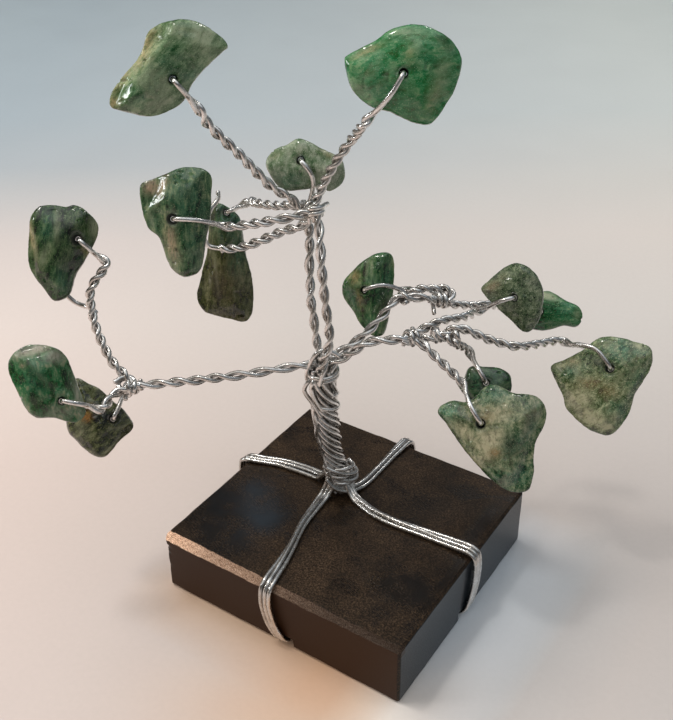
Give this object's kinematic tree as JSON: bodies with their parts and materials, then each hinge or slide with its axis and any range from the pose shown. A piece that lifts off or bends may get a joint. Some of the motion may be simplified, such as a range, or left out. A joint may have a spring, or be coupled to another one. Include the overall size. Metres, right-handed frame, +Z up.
{
  "type": "gemstone wire tree",
  "caption": "Tree of life ornament: twisted silver wire trunk, boughs and twigs on a black stone block, with drilled green stone chips that swing on their wire loops.",
  "frame": {"origin": "centre of the stone block's underside, on the surface it stands on", "axes": "+Z up; +X and +Y along the block's sides; -Y is the face with the broad ground chamfer, over which the front root goes"},
  "size_m": [0.0902, 0.0792, 0.1008],
  "materials": {
    "black_stone": "polished",
    "silver_wire": "satin",
    "green_bright": "polished",
    "green_mid": "polished",
    "green_olive": "polished",
    "green_pale": "polished"
  },
  "bodies": {
    "tree": {"base_block": "black_stone", "trunk_twist": "silver_wire", "crown_binding": "silver_wire", "root_left_1": "silver_wire", "root_left_2": "silver_wire", "root_left_3": "silver_wire", "root_front_1": "silver_wire", "root_front_2": "silver_wire", "root_front_3": "silver_wire", "root_right_1": "silver_wire", "root_right_2": "silver_wire", "root_right_3": "silver_wire", "root_back_1": "silver_wire", "root_back_2": "silver_wire", "root_back_3": "silver_wire", "bough_left": "silver_wire", "bough_rear_stem": "silver_wire", "bough_front_stem": "silver_wire", "bough_right_upper": "silver_wire", "bough_right_lower": "silver_wire", "twig_wire_01": "silver_wire", "twig_wire_02": "silver_wire", "twig_wire_03": "silver_wire", "twig_wire_04": "silver_wire", "twig_wire_05": "silver_wire", "twig_wire_06": "silver_wire", "twig_wire_07": "silver_wire", "twig_wire_08": "silver_wire", "twig_wire_09": "silver_wire", "twig_wire_10": "silver_wire", "twig_wire_11": "silver_wire", "twig_wire_12": "silver_wire", "twig_wire_13": "silver_wire", "twig_wire_14": "silver_wire", "twig_spare_loop": "silver_wire"},
    "chip_01": {"gem_chip_01": "green_mid"},
    "chip_02": {"gem_chip_02": "green_bright"},
    "chip_03": {"gem_chip_03": "green_mid"},
    "chip_04": {"gem_chip_04": "green_mid"},
    "chip_05": {"gem_chip_05": "green_olive"},
    "chip_06": {"gem_chip_06": "green_mid"},
    "chip_07": {"gem_chip_07": "green_bright"},
    "chip_08": {"gem_chip_08": "green_olive"},
    "chip_09": {"gem_chip_09": "green_bright"},
    "chip_10": {"gem_chip_10": "green_olive"},
    "chip_11": {"gem_chip_11": "green_bright"},
    "chip_12": {"gem_chip_12": "green_pale"},
    "chip_13": {"gem_chip_13": "green_pale"},
    "chip_14": {"gem_chip_14": "green_bright"}
  },
  "joints": [
    {"name": "chip_01_swing", "type": "hinge", "parent": "tree", "child": "chip_01", "pos_m": [-0.024, -0.0095, 0.093], "axis": [0.683, -0.683, 0.2588], "range_deg": [-30, 30]},
    {"name": "chip_02_swing", "type": "hinge", "parent": "tree", "child": "chip_02", "pos_m": [0.0045, 0.009, 0.0935], "axis": [0.4698, -0.8138, 0.342], "range_deg": [-45, 20]},
    {"name": "chip_03_swing", "type": "hinge", "parent": "tree", "child": "chip_03", "pos_m": [-0.0137, 0.0077, 0.0766], "axis": [0.539, -0.7698, 0.342], "range_deg": [-15, 40]},
    {"name": "chip_04_swing", "type": "hinge", "parent": "tree", "child": "chip_04", "pos_m": [-0.028, -0.0085, 0.069], "axis": [0.6409, -0.6409, 0.4226], "range_deg": [-30, 30]},
    {"name": "chip_05_swing", "type": "hinge", "parent": "tree", "child": "chip_05", "pos_m": [-0.0286, 0.0056, 0.0644], "axis": [0.5826, -0.6943, 0.4226], "range_deg": [-40, 40]},
    {"name": "chip_06_swing", "type": "hinge", "parent": "tree", "child": "chip_06", "pos_m": [-0.043, -0.016, 0.0645], "axis": [0.6943, -0.5826, 0.4226], "range_deg": [-45, 9]},
    {"name": "chip_07_swing", "type": "hinge", "parent": "tree", "child": "chip_07", "pos_m": [-0.0355, -0.0315, 0.0435], "axis": [0.671, -0.4698, 0.5736], "range_deg": [-40, 40]},
    {"name": "chip_08_swing", "type": "hinge", "parent": "tree", "child": "chip_08", "pos_m": [-0.036, -0.021, 0.033], "axis": [0.6275, -0.5265, 0.5736], "range_deg": [-24, 40]},
    {"name": "chip_09_swing", "type": "hinge", "parent": "tree", "child": "chip_09", "pos_m": [-0.0075, 0.0175, 0.0495], "axis": [0.433, -0.75, 0.5], "range_deg": [-27, 30]},
    {"name": "chip_10_swing", "type": "hinge", "parent": "tree", "child": "chip_10", "pos_m": [0.016, 0.031, 0.0485], "axis": [0.2962, -0.8138, 0.5], "range_deg": [-45, 24]},
    {"name": "chip_11_swing", "type": "hinge", "parent": "tree", "child": "chip_11", "pos_m": [0.018, 0.0395, 0.042], "axis": [0.2962, -0.8138, 0.5], "range_deg": [-40, 40]},
    {"name": "chip_12_swing", "type": "hinge", "parent": "tree", "child": "chip_12", "pos_m": [0.0345, 0.034, 0.038], "axis": [0.212, -0.7912, 0.5736], "range_deg": [-10, 40]},
    {"name": "chip_13_swing", "type": "hinge", "parent": "tree", "child": "chip_13", "pos_m": [0.022, 0.0075, 0.0375], "axis": [0.3462, -0.7424, 0.5736], "range_deg": [-18, 18]},
    {"name": "chip_14_swing", "type": "hinge", "parent": "tree", "child": "chip_14", "pos_m": [0.0185, 0.016, 0.0395], "axis": [0.3462, -0.7424, 0.5736], "range_deg": [-40, 40]}
  ]
}
